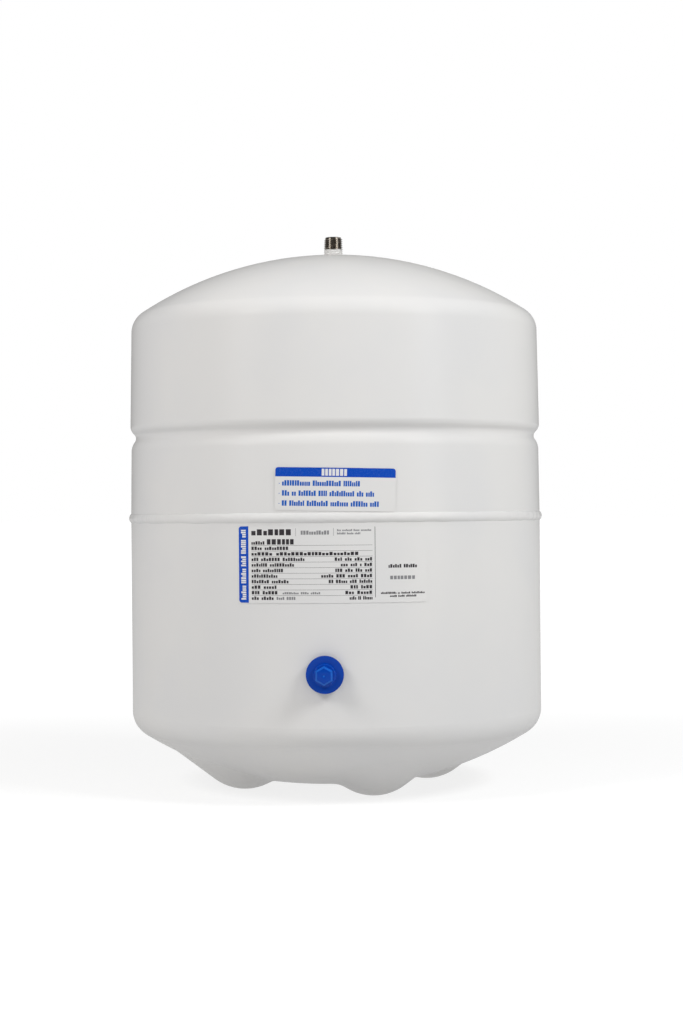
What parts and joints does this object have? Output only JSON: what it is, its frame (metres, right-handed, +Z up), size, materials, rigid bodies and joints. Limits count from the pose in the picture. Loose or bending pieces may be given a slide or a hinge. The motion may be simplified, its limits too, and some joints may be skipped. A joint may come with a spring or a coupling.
{
  "type": "reverse osmosis storage tank",
  "caption": "White steel pressure tank with crowned top, rolled groove, welded seam, pressed feet, threaded water nipple at the top and an air valve under a blue screw cap.",
  "frame": {"origin": "on the tank's axis, level with the feet it stands on", "axes": "+Z up along the tank's axis towards the water nipple, -Y out of the air valve"},
  "size_m": [0.293, 0.3064, 0.3883],
  "materials": {
    "white_paint": "semi-gloss white enamel on steel",
    "stainless_steel": "turned stainless steel",
    "ring_steel": "plain rolled steel",
    "pin_steel": "bright drawn steel",
    "brass": "turned brass",
    "liner_plastic": "natural polypropylene",
    "seal_plastic": "red fluoroplastic",
    "diaphragm_rubber": "moulded butyl rubber",
    "black_rubber": "moulded rubber",
    "blue_plastic": "moulded blue plastic, satin gloss",
    "label_film": "clear film with printed fields"
  },
  "bodies": {
    "tank": {"upper_shell": "white_paint", "lower_shell": "white_paint", "girth_weld": "white_paint", "water_connection": "stainless_steel", "connection_weld": "white_paint", "connection_o_ring": "black_rubber", "water_liner": "liner_plastic", "diaphragm": "diaphragm_rubber", "clench_ring": "ring_steel", "valve_stem": "brass", "valve_weld": "white_paint", "core_barrel": "brass", "core_barrel_seal": "seal_plastic", "core_spring": "pin_steel", "upper_label": "label_film", "lower_label": "label_film"},
    "cap_ring": {"cap_o_ring": "black_rubber"},
    "cap": {"valve_cap": "blue_plastic"},
    "core": {"core_pin": "pin_steel", "core_cup": "brass", "core_seal": "black_rubber"}
  },
  "joints": [
    {"name": "cap_travel", "type": "slide", "parent": "tank", "child": "cap_ring", "axis": [0, -1, 0], "range_m": [0, 0.00556]},
    {"name": "cap_turn", "type": "hinge", "parent": "cap_ring", "child": "cap", "pos_m": [0, -0.145, 0.0885], "axis": [0, -1, 0], "range_deg": [0, 2520]},
    {"name": "core_press", "type": "slide", "parent": "tank", "child": "core", "axis": [0, 1, 0], "range_m": [0, 0.0012], "stiffness_N_per_m": 900, "springref_m": -0.002, "deforming": ["core_spring"]}
  ],
  "couplings": [
    {"joint": "cap_turn", "follows": "cap_travel", "rad_per_m": 7915.8}
  ]
}
